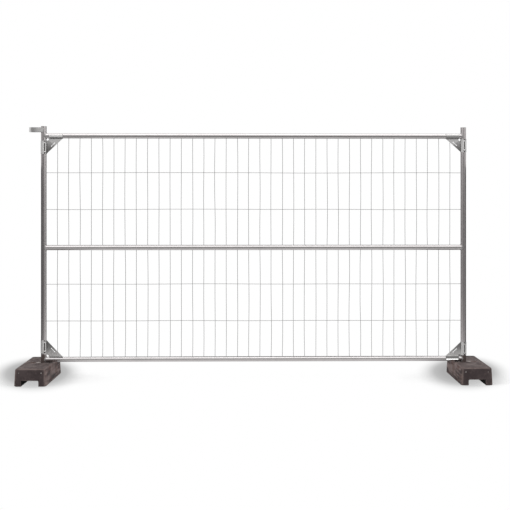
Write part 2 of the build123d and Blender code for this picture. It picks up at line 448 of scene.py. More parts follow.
plainZinc = {"metal": 1.0, "bloomMetal": 0.55, "bumpStrength": 1.0,
             "rub": 0.0, "rubTone": (0.72, 0.715, 0.71), "rubReach": 1.6 * mm, "rubBreakup": 45.0,
             "crevice": 0.0, "underside": 0.0, "grimeAndShadeTone": (0.030, 0.027, 0.026), "grimeAndShadeReach": 18 * mm}
plainTube = {"spangleScale": 95.0, "spangle": 0.18, "streak": 0.7, "patina": 0.4, "rough": (0.14, 0.30),
             "bump": 0.06 * mm, "crevice": 0.7}
plainWeld = {"drawn": (300.0, 300.0, 300.0), "spangleScale": 400.0, "spangle": 0.3, "streak": 0.6,
             "bump": 0.3 * mm}
zincLooks = {
    "uprightTube": {
        **plainTube, "drawn": (55.0, 55.0, 1.2),
        "bright": (0.60, 0.567, 0.567), "dull": (0.43, 0.402, 0.402),
        "leftSide": (0.3, -0.3),
        "leftReflectionStreaks": (((0.17, 0.158, 0.158), (-0.90, -0.60, -0.05, 0.30, 0.5)),
                        ((0.80, 0.765, 0.765), (0.25, 0.50, 0.80, 1.0, 0.45))),
        "splashTone": (0.100, 0.067, 0.060), "splashHeight": (0.226, 0.210, 0.0, 0.95),
        "splashNoise": (60.0, 5.0), "splashRagged": 24 * mm, "splashReflectionSide": (-0.45, -0.75, 1.0, 0.5),
        "splashDulls": (0.95, 0.3)},
    "levelTube": {
        **plainTube, "drawn": (1.2, 55.0, 55.0),
        "bright": (0.58, 0.557, 0.557), "dull": (0.41, 0.391, 0.390)},
    "drawnWire": {
        "drawn": (160.0, 160.0, 160.0), "spangleScale": 240.0, "spangle": 0.25, "streak": 0.6, "patina": 0.3,
        "bright": (0.36, 0.355, 0.355), "dull": (0.19, 0.186, 0.186), "rough": (0.32, 0.5),
        "bump": 0.05 * mm},
    "foldedSheet": {
        "drawn": (30.0, 90.0, 30.0), "spangleScale": 130.0, "spangle": 0.35, "streak": 0.35, "patina": 0.4,
        "bright": (0.57, 0.562, 0.559), "dull": (0.38, 0.373, 0.370), "rough": (0.21, 0.33), "metal": 0.94,
        "bump": 0.06 * mm, "rub": 0.5, "crevice": 0.45,
        "underside": (leftX + 0.3, rightX - 0.3, 0.95, 0.45),
        "sleeveFront": (-0.007, -0.012), "sleeveShare": 0.85, "sleeveSheenTone": (0.92, 0.91, 0.90),
        "sleeveDulls": (0.75, 0.2), "postSleeve": (0.023, 0.027, 0.0, 0.75),
        "postSleeveTone": (0.60, 0.592, 0.588), "outerSideShade": (0.38, 0.72, 0.0, 0.64),
        "sleeveShadeTone": (0.17, 0.165, 0.16), "sleeveShadeBands": ((0, -0.003, 0.0250, 0.93), (2, -0.026, 0.006, 0.66)),
        "bandEdges": (3 * mm, 2 * mm), "bandFrom": (rightX - 0.20, rightX - 0.16),
        "webLightTone": (0.67, 0.663, 0.66), "paleLimits": (0.072, 0.030, 0.0, 0.28), "paleDulls": (0.8, 0.0),
        "webShadeTone": (0.19, 0.185, 0.18), "darkLimits": (0.045, 0.115, 0.0, 0.85),
        "whiteRust": (0.90, 0.89, 0.88), "rustHeight": (0.275, 0.175, 0.0, 0.7), "rustDulls": (0.75, 0.2)},
    "flatBar": {
        "drawn": (8.0, 90.0, 90.0), "spangleScale": 110.0, "spangle": 0.12, "streak": 0.4, "patina": 0.4,
        "bright": (0.74, 0.73, 0.724), "dull": (0.56, 0.551, 0.546), "rough": (0.22, 0.36), "metal": 0.75,
        "bump": 0.08 * mm, "rub": 0.6, "crevice": 0.6,
        "bendShadeTone": (0.27, 0.266, 0.262), "bend": (0.014, 0.022, 0.034, 0.085, 0.7),
        "noseHighlightTone": (0.97, 0.96, 0.955), "nose": (0.020, 0.013, 0.0, 0.9), "noseDulls": (0.55, 0.0)},
    # the rolled lips are near white and barely metallic: a painted highlight along the seams' edges
    "rolledLipHighlight": {
        "drawn": (60.0, 60.0, 60.0), "spangleScale": 260.0, "spangle": 0.2, "streak": 0.3, "patina": 0.3,
        "bright": (0.94, 0.93, 0.922), "dull": (0.78, 0.77, 0.762), "rough": (0.26, 0.42), "metal": 0.12,
        "bump": 0.15 * mm},
    "flaredSheet": {
        "drawn": (10.0, 90.0, 90.0), "spangleScale": 140.0, "spangle": 0.15, "streak": 0.3, "patina": 0.2,
        "bright": (0.86, 0.855, 0.85), "dull": (0.78, 0.775, 0.77), "rough": (0.12, 0.26), "metal": 0.85,
        "bump": 0.05 * mm},
    "weldZinc": {
        **plainWeld, "patina": 0.9,
        "bright": (0.52, 0.515, 0.51), "dull": (0.26, 0.25, 0.245), "rough": (0.35, 0.65)},
    "burntWeld": {
        **plainWeld, "patina": 0.3,
        "bright": (0.20, 0.185, 0.175), "dull": (0.06, 0.053, 0.05), "rough": (0.45, 0.75), "metal": 0.7},
}


def cover(skin, mask, tone, dulls=(0.0, 0.0)):
    # a tone over the zinc, which is less like metal and rougher where it lies
    metalLoss, roughGain = dulls
    skin["Base Color"] = blend(mask, skin["Base Color"], tone)
    if metalLoss:
        skin["Metallic"] = minus(skin["Metallic"], times(mask, metalLoss))
    if roughGain:
        skin["Roughness"] = plus(skin["Roughness"], times(mask, roughGain))


def outwardFacing(place):
    # 1 on faces that look away from the panel's middle, -1 on those that look towards it
    return times(axes(facing(place["X"].id_data))["X"], maths("SIGN", place["X"]))


def sheetTones(skin, look, place):
    # the sleeves stand in front of the flat web; their zinc is duller and painted pale, a painted sheen, with
    # painted shade on their outer sides
    sleeve = spread(place["Y"], *look["sleeveFront"])
    cover(skin, times(sleeve, look["sleeveShare"]), look["sleeveSheenTone"], look["sleeveDulls"])
    cover(skin, times(sleeve, spread(outwardFacing(place), *look["outerSideShade"])), look["sleeveShadeTone"])
    # height above or below the nearer of the top and bottom rails
    fromRail = maths("ABSOLUTE", minus(place["Z"], railHeights[1]))
    fromRail = maths("ABSOLUTE", minus(fromRail, railHeights[2] - railHeights[1]))
    cover(skin, times(sleeve, spread(fromRail, *look["postSleeve"])), look["postSleeveTone"])
    # painted light on the web beside the rail
    web = minus(1.0, sleeve)
    cover(skin, times(web, spread(fromRail, *look["paleLimits"])), look["webLightTone"], look["paleDulls"])
    # dull white rust on the sheet that is nearest the ground
    cover(skin, spread(place["Z"], *look["rustHeight"]), look["whiteRust"], look["rustDulls"])
    # painted shade on the web up to its tip on the post
    cover(skin, times(web, spread(fromRail, *look["darkLimits"])), look["webShadeTone"])
    lowEdge, highEdge = look["bandEdges"]
    for rail, low, high, share in look["sleeveShadeBands"]:
        # on the right the rails' sleeves carry a painted dark reflection along part of their height
        base, top = railHeights[rail] + low, railHeights[rail] + high
        band = times(sleeve, share)
        band = times(band, spread(place["Z"], base - lowEdge, base + lowEdge))
        band = times(band, spread(place["Z"], top + highEdge, top - highEdge))
        band = times(band, spread(place["X"], *look["bandFrom"]))
        cover(skin, band, look["sleeveShadeTone"])


def hoopTones(skin, look, place):
    # painted shade on the bar just behind its rounded end, and a painted highlight on its nose
    fromEnd = minus(place["X"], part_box("coupling_hoop")[0].x)
    cover(skin, window(fromEnd, *look["bend"]), look["bendShadeTone"])
    cover(skin, spread(fromEnd, *look["nose"]), look["noseHighlightTone"], look["noseDulls"])


def postTones(skin, look, place, coords):
    # the left post has a painted dark reflection streak down its front and a painted highlight streak beside
    # it
    sideways = axes(facing(coords.id_data))["X"]
    onLeft = spread(place["X"], *look["leftSide"])
    for tone, limits in look["leftReflectionStreaks"]:
        cover(skin, times(onLeft, window(sideways, *limits)), tone)
    # brown splashes on the post below its sleeve, half as strong where it faces the panel's middle: a painted
    # reflection keeps that side lighter
    height = plus(place["Z"], times(noise(coords, *look["splashNoise"]), look["splashRagged"]))
    splash = spread(height, *look["splashHeight"])
    splash = times(splash, spread(outwardFacing(place), *look["splashReflectionSide"]))
    cover(skin, splash, look["splashTone"], look["splashDulls"])


def zincMaterial(name):
    look = {**plainZinc, **zincLooks[name]}
    material, coords = newMaterial(name)
    base = effect(zincSkin, coords, Drawn_Coords=stretched(coords, look["drawn"]),
                  Spangle_Scale=look["spangleScale"], Spangle=look["spangle"], Streak=look["streak"],
                  Patina=look["patina"], Bright=look["bright"], Dull=look["dull"])
    skin = {"Base Color": base["Colour"],
            "Roughness": spread(base["Rough"], 0.0, 1.0, *look["rough"]),
            "Metallic": spread(base["Bloom"], 0.0, 1.0, look["metal"], look["metal"] * look["bloomMetal"])}
    place = axes(coords)
    if look["rub"]:
        rub = effect(edgeRub, coords, Reach=look["rubReach"], Breakup_Scale=look["rubBreakup"])["Mask"]
        cover(skin, times(rub, look["rub"]), look["rubTone"])
    if "sleeveSheenTone" in look:
        sheetTones(skin, look, place)
    if "bendShadeTone" in look:
        hoopTones(skin, look, place)
    if "splashTone" in look:
        postTones(skin, look, place, coords)
    # painted shade: dirt and shade in crevices, and shade under the sheet, stronger at the left end of the
    # panel
    if look["crevice"]:
        under = look["underside"]
        if isinstance(under, tuple):
            under = spread(place["X"], *under)  # thicker at the left end of the panel
        grimeAndShadeMask = effect(grimeAndShade, coords, Reach=look["grimeAndShadeReach"], Crevice=look["crevice"],
                       Underside=under)["Mask"]
        cover(skin, grimeAndShadeMask, look["grimeAndShadeTone"])
    return setSkin(material, skin, base["Height"], (look["bumpStrength"], look["bump"]))


zinc = {name: zincMaterial(name) for name in zincLooks}


# moulded plastic of the feet; drawn marks are given as scale, slant, detail and roughness

footLook = {
    "deep": (0.048, 0.034, 0.034), "warm": (0.108, 0.078, 0.076),
    "clouds": (11.0, 8.0, 0.66), "cloudLimits": (0.38, 0.68),
    "flow": ((26.0, 3.2, 26.0), 0, 6.0, 0.6), "flowLimits": (0.53, 0.72, 0.0, 0.55),
    "flowTone": (0.24, 0.18, 0.168),
    "rubbed": (0.29, 0.225, 0.21),
    "scuffs": ((9.0, 34.0, 7.0), 38, 5.0, 0.6), "scuffLimits": (0.54, 0.70, 0.0, 0.75),
    "flank": (0.55, 0.95), "bands": ((3.0, 2.6, 24.0), -9, 2.5), "redBands": ((5.0, 9.0, 12.0), 31, 4.0),
    "paleLimits": (0.44, 0.62, 0.10, 0.95), "flankStreakAndLightTone": (0.285, 0.215, 0.202),
    "darkLimits": (0.50, 0.38, 0.0, 0.9),
    "redLimits": (0.50, 0.64, 0.0, 0.6), "redTone": (0.150, 0.083, 0.070),
    "ends": (0.80, 0.97, 0.0, 0.62), "endTone": (0.0765, 0.0575, 0.059),
    "corners": (0.96, 0.80, 0.0, 0.55), "cornerClouds": (0.30, 0.58, 0.45, 1.0),
    "cornerSide": (0.06, 0.11, 1.0, 0.3),
    "chipScale": 170.0, "chipLimits": (0.16, 0.05, 0.0, 0.4), "chips": (0.28, 0.225, 0.21),
    "dust": (0.31, 0.255, 0.24), "dustPatches": 13.0, "dustCover": 0.42,
    "rubReach": 16 * mm, "rubBreakup": 17.0, "rubShare": 0.62,
    "rearEdge": (0.20, 0.315, 0.0, 0.75), "upward": (0.3, 0.7),
    "padRise": 1.5 * mm, "pad": (0.024, 0.014, 0.0, 0.9), "padHeight": (-0.003, 0.001),
    "padGlintTone": (0.62, 0.56, 0.535),
    "socket": (0.0255, 0.0245, 0.0, 0.9), "socketHeight": (-0.001, -0.004), "socketTone": (0.42, 0.31, 0.29),
    "channelSides": (0.0682, 0.0672), "channelRoof": (0.0472, 0.0462), "channelShadeTone": (0.003, 0.0025, 0.0025),
    "specular": 0.22, "roughLimits": (0.3, 0.7, 0.86, 0.58), "dustRough": 0.12, "channelRough": 0.4,
    "pebble": (330.0, 4.0, 0.6), "dents": (42.0, 3.0, 0.5), "dentHeight": 1.6, "bump": (0.9, 1.2 * mm),
}
footCentreX = abs(sum(corner.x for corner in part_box("right_foot")) / 2)
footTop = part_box("right_foot")[1].z - footLook["padRise"]
socketX = 2 * footCentreX - rightX


def aroundLine(place, x, limits):
    # how near a point is to the upright line at +x or -x
    across = minus(maths("ABSOLUTE", place["X"]), x)
    offset = put(across.id_data, "ShaderNodeCombineXYZ", X=across, Y=place["Y"]).outputs[0]
    return spread(vectorMaths("LENGTH", offset)["Value"], *limits)


def nearTop(place, limits):
    return spread(place["Z"], *(footTop + limit for limit in limits))


def footMaterial():
    look = footLook
    material, coords = newMaterial("footPlastic")
    tree = material.node_tree
    place = axes(coords)
    clouds = noise(coords, *look["clouds"])
    colour = blend(spread(clouds, *look["cloudLimits"]), look["deep"], look["warm"])
    # flow lines left by the moulding, along the block
    flow = spread(slantNoise(coords, *look["flow"]), *look["flowLimits"])
    colour = blend(flow, colour, look["flowTone"])
    # slanting scuffs where blocks are stacked and dragged
    scuff = spread(slantNoise(coords, *look["scuffs"]), *look["scuffLimits"])
    colour = blend(scuff, colour, look["rubbed"])
    # pale, dark and red bands along the sides, the pale ones over a painted lightening of the whole sides,
    # and plainer ends
    sides = axes(vectorMaths("ABSOLUTE", facing(tree))["Vector"])
    flank = spread(sides["X"], *look["flank"])
    bands = slantNoise(coords, *look["bands"])
    redBands = slantNoise(coords, *look["redBands"])
    for marks, limits, tone in ((bands, "paleLimits", "flankStreakAndLightTone"), (bands, "darkLimits", "deep"),
                                (redBands, "redLimits", "redTone")):
        colour = blend(times(flank, spread(marks, *look[limits])), colour, look[tone])
    colour = blend(spread(sides["Y"], *look["ends"]), colour, look["endTone"])
    # the rounded corners are rubbed pale and carry a painted highlight, less on the side away from the panel
    flattest = maths("MAXIMUM", maths("MAXIMUM", sides["X"], sides["Y"]), sides["Z"])
    corner = times(spread(flattest, *look["corners"]), spread(clouds, *look["cornerClouds"]))
    fromMiddle = minus(maths("ABSOLUTE", place["X"]), footCentreX)
    corner = times(corner, spread(fromMiddle, *look["cornerSide"]))
    colour = blend(corner, colour, look["rubbed"])
    # pale chips in the recycled plastic, dust on top and rubbed edges
    chips = put(tree, "ShaderNodeTexVoronoi", Vector=coords, Scale=look["chipScale"]).outputs["Distance"]
    colour = blend(spread(chips, *look["chipLimits"]), colour, look["chips"])
    dust = effect(settledDust, coords, Patch_Scale=look["dustPatches"], Cover=look["dustCover"])["Mask"]
    colour = blend(dust, colour, look["dust"])
    rub = effect(edgeRub, coords, Reach=look["rubReach"], Breakup_Scale=look["rubBreakup"])["Mask"]
    colour = blend(times(rub, look["rubShare"]), colour, look["rubbed"])
    # the far edge of the top is darker
    rear = times(spread(place["Y"], *look["rearEdge"]), spread(sides["Z"], *look["upward"]))
    colour = blend(rear, colour, look["deep"])
    # the raised pad between the sockets carries a painted pale glint, and the bare socket's wall is paler
    pad = times(aroundLine(place, footCentreX, look["pad"]), nearTop(place, look["padHeight"]))
    colour = blend(pad, colour, look["padGlintTone"])
    bareSocket = times(aroundLine(place, socketX, look["socket"]), nearTop(place, look["socketHeight"]))
    colour = blend(bareSocket, colour, look["socketTone"])
    # the channel underneath is painted near black: painted shade inside the tunnel
    channel = spread(maths("ABSOLUTE", fromMiddle), *look["channelSides"])
    channel = times(channel, spread(place["Z"], *look["channelRoof"]))
    colour = blend(channel, colour, look["channelShadeTone"])
    rough = plus(spread(clouds, *look["roughLimits"]), times(dust, look["dustRough"]))
    rough = plus(rough, times(channel, look["channelRough"]), True)
    dents = times(noise(coords, *look["dents"]), look["dentHeight"])
    height = plus(plus(dents, noise(coords, *look["pebble"])), flow)
    skin = {"Base Color": colour, "Roughness": rough, "Specular IOR Level": look["specular"]}
    return setSkin(material, skin, height, look["bump"])


# two-tone finishes of small pieces

def mottledMaterial(name, look):
    material, coords = newMaterial(name)
    clouds = noise(coords, *look["clouds"])
    colour = blend(clouds, look["deep"], look["pale"])
    if "rubTone" in look:
        rub = effect(edgeRub, coords, Reach=look["rubReach"], Breakup_Scale=look["rubBreakup"])["Mask"]
        colour = blend(rub, colour, look["rubTone"])
    if "outerTone" in look:
        # darker on the half of the foot that is away from the panel
        fromMiddle = minus(maths("ABSOLUTE", axes(coords)["X"]), footCentreX)
        colour = blend(spread(fromMiddle, *look["outer"]), colour, look["outerTone"])
    skin = {"Base Color": colour, "Roughness": spread(clouds, *look["roughLimits"])}
    if "specular" in look:
        skin["Specular IOR Level"] = look["specular"]
    return setSkin(material, skin, noise(coords, *look["grain"]), look["bump"])


plugLook = {"clouds": (60.0, 5.0), "deep": (0.020, 0.019, 0.019), "pale": (0.055, 0.052, 0.050),
            "rubTone": (0.12, 0.115, 0.11), "rubReach": 2 * mm, "rubBreakup": 120.0,
            "roughLimits": (0.2, 0.8, 0.38, 0.6), "grain": (700.0, 3.0), "bump": (0.6, 0.2 * mm)}
footPlastic = footMaterial()
plugPlastic = mottledMaterial("plugPlastic", plugLook)
finishes = {
    "left_post": zinc["uprightTube"], "right_post": zinc["uprightTube"],
    "bottom_rail": zinc["levelTube"], "middle_rail": zinc["levelTube"], "top_rail": zinc["levelTube"],
    "top_left_gusset": zinc["foldedSheet"], "top_right_gusset": zinc["foldedSheet"],
    "bottom_left_gusset": zinc["foldedSheet"], "bottom_right_gusset": zinc["foldedSheet"],
    "coupling_hoop": zinc["flatBar"],
    "left_foot": footPlastic, "right_foot": footPlastic,
    "left_post_plug": plugPlastic, "right_post_plug": plugPlastic,
}
for nodeName, finish in finishes.items():
    for materialSlot in nodes[nodeName].material_slots:
        materialSlot.material = finish
print("finishes set on", len(finishes), "nodes")


# drawn wires, none quite straight between its welds

wireLook = {"seed": 11, "bow": 1.9 * mm, "wobble": 0.9 * mm, "most": 3.6 * mm, "step": 24 * mm, "sides": 10,
            "crossWaves": 9, "crossFade": 0.25}
uprightNames = sorted(name for name in nodes if name.startswith("upright_wire"))
crossNames = sorted(name for name in nodes if name.startswith("cross_wire"))
wireRng = random.Random(wireLook["seed"])


def bowAt(waves, share):
    # sideways bow along a run of wire, zero at both of its ends
    shift = sum(a * math.sin((k + 1) * math.pi * share) for k, a in enumerate(waves))
    return max(-wireLook["most"], min(wireLook["most"], shift))


def bayWaves():
    return [wireRng.gauss(0, size) for size in (wireLook["bow"], wireLook["wobble"], wireLook["wobble"] / 2)]


def uprightLine(name):
    # the wire's middle line as a function of height
    low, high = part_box(name)
    middleX, middleY = (low.x + high.x) / 2, (low.y + high.y) / 2
    lower, upper = bayWaves(), bayWaves()

    def at(z):
        bottom, middle, top = railHeights
        if z <= bottom or z >= top:
            shift = 0.0
        elif z < middle:
            shift = bowAt(lower, (z - bottom) / (middle - bottom))
        else:
            shift = bowAt(upper, (z - middle) / (top - middle))
        return Vector((middleX + shift, middleY, z))
    return at, low.z, high.z, (high.x - low.x) / 2


def crossLine(name):
    # the wire's middle line as a function of the place along the panel
    low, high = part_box(name)
    middleY, middleZ = (low.y + high.y) / 2, (low.z + high.z) / 2
    waves = [wireRng.gauss(0, wireLook["wobble"]) / (1 + wireLook["crossFade"] * k)
             for k in range(wireLook["crossWaves"])]

    def at(x):
        return Vector((x, middleY, middleZ + bowAt(waves, (x - low.x) / (high.x - low.x))))
    return at, low.x, high.x, (high.z - low.z) / 2


def wireMesh(line):
    at, start, end, radius = line
    count = max(2, round((end - start) / wireLook["step"]))
    path = [at(start + (end - start) * i / count) for i in range(count + 1)]
    return sweep(path, [radius] * len(path), wireLook["sides"])


uprightLines = [uprightLine(name) for name in uprightNames]
crossLines = [crossLine(name) for name in crossNames]
uprightWires = addPiece("uprightWires", *gather([wireMesh(line) for line in uprightLines]),
                        zinc["drawnWire"], "galvanised_wire", "panel")
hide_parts(*uprightNames)
crossWires = addPiece("crossWires", *gather([wireMesh(line) for line in crossLines]),
                      zinc["drawnWire"], "galvanised_wire", "panel")
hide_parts(*crossNames)
print("wires drawn:", len(uprightLines), "upright,", len(crossLines), "across")


# resistance welds of the mesh

spotLook = {"seed": 23, "onRail": (3.2 * mm, 1.1 * mm, 4.4 * mm), "onWire": (2.5 * mm, 1.4 * mm, 2.5 * mm),
            "onPost": (3.4 * mm, 2.6 * mm, 3.0 * mm), "offRail": 0.2 * mm}
spotRng = random.Random(spotLook["seed"])
spots = []
for at, _, _, radius in uprightLines:
    for railHeight in railHeights:
        place = at(railHeight)
        place.y = railRadius + spotLook["offRail"]
        spots.append(weldNugget(place, spotLook["onRail"], spotRng))
    for crossAt, *_ in crossLines:
        # where the two wires cross, found in two steps
        straight = at((railHeights[0] + railHeights[2]) / 2)
        place = at(crossAt(straight.x).z)
        place.z = crossAt(place.x).z
        place.y -= radius
        spots.append(weldNugget(place, spotLook["onWire"], spotRng))
for crossAt, start, end, _ in crossLines:
    for tip in (start, end):
        spots.append(weldNugget(crossAt(tip), spotLook["onPost"], spotRng))
addPiece("meshWelds", *gather(spots), zinc["weldZinc"], "galvanised_wire", "panel")
print("mesh welds:", len(spots))


# fillet welds where the rails meet the posts

filletLook = {"seed": 5, "radius": 3.1 * mm, "sink": 0.6 * mm, "pitch": 4.2 * mm, "steps": 96}
filletRng = random.Random(filletLook["seed"])
fillets = []
for postX, inward in ((leftX, 1), (rightX, -1)):
    for railHeight in railHeights:
        ring = []
        for i in range(filletLook["steps"]):
            turn = 2 * math.pi * i / filletLook["steps"]
            y, z = railRadius * math.cos(turn), railRadius * math.sin(turn)
            x = math.sqrt(postRadius ** 2 - y ** 2)
            offRail = Vector((0, y, z)).normalized()
            offPost = Vector((inward * x, y, 0)).normalized()
            out = (offRail + offPost).normalized() * filletLook["sink"]
            ring.append(Vector((postX + inward * x, y, railHeight + z)) + out)
        fillets.append(weldBead(ring, filletLook["radius"], filletLook["pitch"], filletRng, True))
addPiece("railWelds", *gather(fillets), zinc["weldZinc"], "galvanised_tube", "panel")
print("rail welds:", len(fillets))


# runs of weld at the hoop's legs

runLook = {"seed": 8, "radius": 2.6 * mm, "pitch": 3.4 * mm, "proud": 0.6 * mm, "inset": 3 * mm,
           "sections": 18}
runRng = random.Random(runLook["seed"])
hoopLow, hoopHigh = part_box("coupling_hoop")
runs = []
for face in (-1, 1):
    legX = hoopHigh.x + runLook["proud"]
    legY = face * math.sqrt((postRadius + runLook["proud"]) ** 2 - (legX - leftX) ** 2)
    foot = Vector((legX, legY, hoopLow.z + runLook["inset"]))
    head = foot + Vector((0, 0, hoopHigh.z - hoopLow.z - 2 * runLook["inset"]))
    path = [foot.lerp(head, i / runLook["sections"]) for i in range(runLook["sections"] + 1)]
    runs.append(weldBead(path, runLook["radius"], runLook["pitch"], runRng))
addPiece("hoopWelds", *gather(runs), zinc["weldZinc"], "galvanised_sheet", "panel")
print("hoop welds:", len(runs))


# open seams of the gussets' sleeves: a rolled lip round each, tack welds, and dark plates of painted shade in
# the gaps and beside the lips

cornerLooks = {
    "top_left": {"post": leftX, "inward": 1, "rail": 2, "away": -1, "seam": 10 * mm, "lip": 10.5 * mm},
    "top_right": {"post": rightX, "inward": -1, "rail": 2, "away": -1, "seam": 4 * mm, "lip": 15.0 * mm},
    "bottom_left": {"post": leftX, "inward": 1, "rail": 0, "away": 1, "seam": 10 * mm, "lip": None},
    "bottom_right": {"post": rightX, "inward": -1, "rail": 0, "away": 1, "seam": 4 * mm, "lip": -5.5 * mm},
}
seamLook = {
    "seed": 31, "skin": 2.15 * mm, "length": 107 * mm, "railLength": 109 * mm,
    "halfWidth": 7.4 * mm, "inset": 15.5 * mm,
    "lipRadius": 4.2 * mm, "lipSink": 2.7 * mm, "lipUneven": (0.93, 1.05),
    "lipSteps": (16, 10), "lipSides": 10,
    "tack": (4.2 * mm, 2.4 * mm, 3.4 * mm), "tackBeyond": 7 * mm, "tackBeside": 5 * mm,
    "endTack": (3.4 * mm, 2.0 * mm, 2.8 * mm), "endTackOff": 1.0 * mm,
    "gap": 3.5 * mm, "shadeSheet": 0.3 * mm, "shadeOff": 0.1 * mm, "shadeInset": 1 * mm,
    "seamGrid": (6, 4), "railGrid": (4, 6),
    "railShade": {"behind": (44, 87), "belowLip": 8, "aboveLip": 4},
}
flareLook = {"corner": "bottom_right", "top": 0.3 * mm, "drop": 7.2 * mm, "out": 6.0 * mm, "curl": 1.15,
             "sink": 0.3 * mm, "sheet": 1.3 * mm, "grid": (12, 6)}
fillLook = {"corner": "bottom_right", "inset": (32.2 * mm, 29.8 * mm),
            "reach": (8.8 * mm, 1.7 * mm, 9.2 * mm)}
seamShadeLook = {"clouds": (140.0, 6.0, 0.65), "deep": (0.012, 0.011, 0.010), "pale": (0.075, 0.066, 0.060),
            "roughLimits": (0.2, 0.8, 0.7, 0.95), "specular": 0.2,
            "grain": (500.0, 4.0), "bump": (0.8, 0.3 * mm)}
seamRng = random.Random(seamLook["seed"])


def onSleeve(look, across, z, off):
    # a point in front of the post, off its own face
    radius = postRadius + off
    return Vector((look["post"] + across, -math.sqrt(radius ** 2 - across ** 2), z))


def onRail(look, x, angle, off):
    # a point round the rail, from straight in front (0) to the top (90 degrees)
    radius = railRadius + off
    return Vector((x, -radius * math.cos(angle), railHeights[look["rail"]] + radius * math.sin(angle)))


def lipAngle(look):
    return math.asin(look["lip"] / (railRadius + seamLook["skin"]))


def lipRing(look, sleeveEnd):
    # a long round-ended loop on the sleeve's face, round the seam from tack to tack
    half = seamLook["halfWidth"]
    straightSteps, roundSteps = seamLook["lipSteps"]
    start = sleeveEnd - look["away"] * seamLook["inset"]
    end = sleeveEnd - look["away"] * (seamLook["length"] - seamLook["inset"])
    low, high = min(start, end) + half, max(start, end) - half
    flat = []
    for side, base, tip in ((1, low, high), (-1, high, low)):
        flat += [(side * half, base + (tip - base) * i / straightSteps) for i in range(straightSteps)]
        for i in range(roundSteps):
            turn = math.pi * i / roundSteps
            flat.append((side * half * math.cos(turn), tip + side * half * math.sin(turn)))
    off = seamLook["skin"] + seamLook["lipRadius"] - seamLook["lipSink"]
    path = [onSleeve(look, look["seam"] + across, z, off) for across, z in flat]
    radii = [seamLook["lipRadius"] * seamRng.uniform(*seamLook["lipUneven"]) for point in path]
    return sweep(path, radii, seamLook["lipSides"], True)


def flaredLip(look, railEnd):
    # the edge of the rail's sleeve, bent outwards off the rail along its whole length
    face = railRadius + seamLook["skin"] - flareLook["sink"]
    top = railHeights[look["rail"]] + flareLook["top"]

    def pointAt(u, v, off):
        x = railEnd - look["inward"] * seamLook["railLength"] * u
        y = -face - flareLook["out"] * v ** flareLook["curl"]
        return Vector((x, y - off, top - flareLook["drop"] * v + off))
    return thinPlate(pointAt, *flareLook["grid"], flareLook["sheet"])


def seamShadePlate(look, sleeveEnd):
    # a dark plate of painted shade on the post, seen through the seam
    start = sleeveEnd - look["away"] * seamLook["shadeInset"]
    end = sleeveEnd - look["away"] * (seamLook["length"] - seamLook["shadeInset"])

    def pointAt(u, v, off):
        across = look["seam"] + (2 * u - 1) * seamLook["gap"]
        return onSleeve(look, across, start + (end - start) * v, seamLook["shadeOff"] + off)
    return thinPlate(pointAt, *seamLook["seamGrid"], seamLook["shadeSheet"])


def railShadePlate(look, railEnd):
    # painted shadow: a dark line on the rail beside the sleeve's lip, or under the web where the sleeve is at
    # the back
    start, end = railEnd, railEnd - look["inward"] * seamLook["railLength"]
    widths = seamLook["railShade"]
    if look["lip"] is None:
        low, high = (math.radians(angle) for angle in widths["behind"])
    elif look["away"] > 0:
        low, high = lipAngle(look), lipAngle(look) - math.radians(widths["belowLip"])
    else:
        low, high = lipAngle(look), lipAngle(look) + math.radians(widths["aboveLip"])

    def pointAt(u, v, off):
        return onRail(look, start + (end - start) * v, low + (high - low) * u, seamLook["shadeOff"] + off)
    return thinPlate(pointAt, *seamLook["railGrid"], seamLook["shadeSheet"])


lips, tacks, shadeSheet = [], [], []
for cornerName, look in cornerLooks.items():
    low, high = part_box(cornerName + "_gusset")
    sleeveEnd = low.z if look["away"] < 0 else high.z
    railEnd = high.x if look["inward"] > 0 else low.x
    lips.append(lipRing(look, sleeveEnd))
    shadeSheet += [seamShadePlate(look, sleeveEnd), railShadePlate(look, railEnd)]
    tackInset = seamLook["inset"] - seamLook["tackBeyond"]
    for inset in (tackInset, seamLook["length"] - tackInset):
        across = look["seam"] + seamLook["tackBeside"]
        place = onSleeve(look, across, sleeveEnd - look["away"] * inset, seamLook["skin"])
        tacks.append(weldNugget(place, seamLook["tack"], seamRng))
    if look["lip"] is not None:
        for end in (railEnd, railEnd - look["inward"] * seamLook["railLength"]):
            place = onRail(look, end, lipAngle(look), seamLook["endTackOff"])
            tacks.append(weldNugget(place, seamLook["endTack"], seamRng))
# weld metal closes one gusset's relief hole
look = cornerLooks[fillLook["corner"]]
insetX, insetZ = fillLook["inset"]
place = Vector((look["post"] + look["inward"] * insetX, 0, railHeights[look["rail"]] + look["away"] * insetZ))
addPiece("reliefWeld", *weldNugget(place, fillLook["reach"], seamRng),
         zinc["weldZinc"], "galvanised_sheet", "panel")
addPiece("seamLips", *gather(lips), zinc["rolledLipHighlight"], "galvanised_sheet", "panel")
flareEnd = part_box(flareLook["corner"] + "_gusset")[0].x
addPiece("flaredLip", *flaredLip(cornerLooks[flareLook["corner"]], flareEnd),
         zinc["flaredSheet"], "galvanised_sheet", "panel")
addPiece("sleeveTacks", *gather(tacks), zinc["burntWeld"], "galvanised_sheet", "panel")
# dark plates of painted shade in the seams and beside the lips
addPiece("seamShadeStrips", *gather(shadeSheet), mottledMaterial("seamShadeStrips", seamShadeLook), "galvanised_sheet", "panel")
print("sleeve seams:", len(lips), "lips,", len(tacks), "tacks")


# moulded nubs on the ends of the feet

nubLook = {"spread": 88 * mm, "height": 106 * mm, "draft": 7 * mm, "radius": 4.2 * mm, "taper": 0.55,
           "proud": 1.8 * mm, "sunk": 2.0 * mm, "rings": 5, "sides": 20,
           "clouds": (160.0, 5.0), "deep": (0.52, 0.49, 0.47), "pale": (0.86, 0.83, 0.80),
           "outer": (-0.02, 0.02, 0.0, 0.75), "outerTone": (0.13, 0.112, 0.106),
           "roughLimits": (0.2, 0.8, 0.45, 0.7), "grain": (600.0, 3.0), "bump": (0.6, 0.3 * mm)}


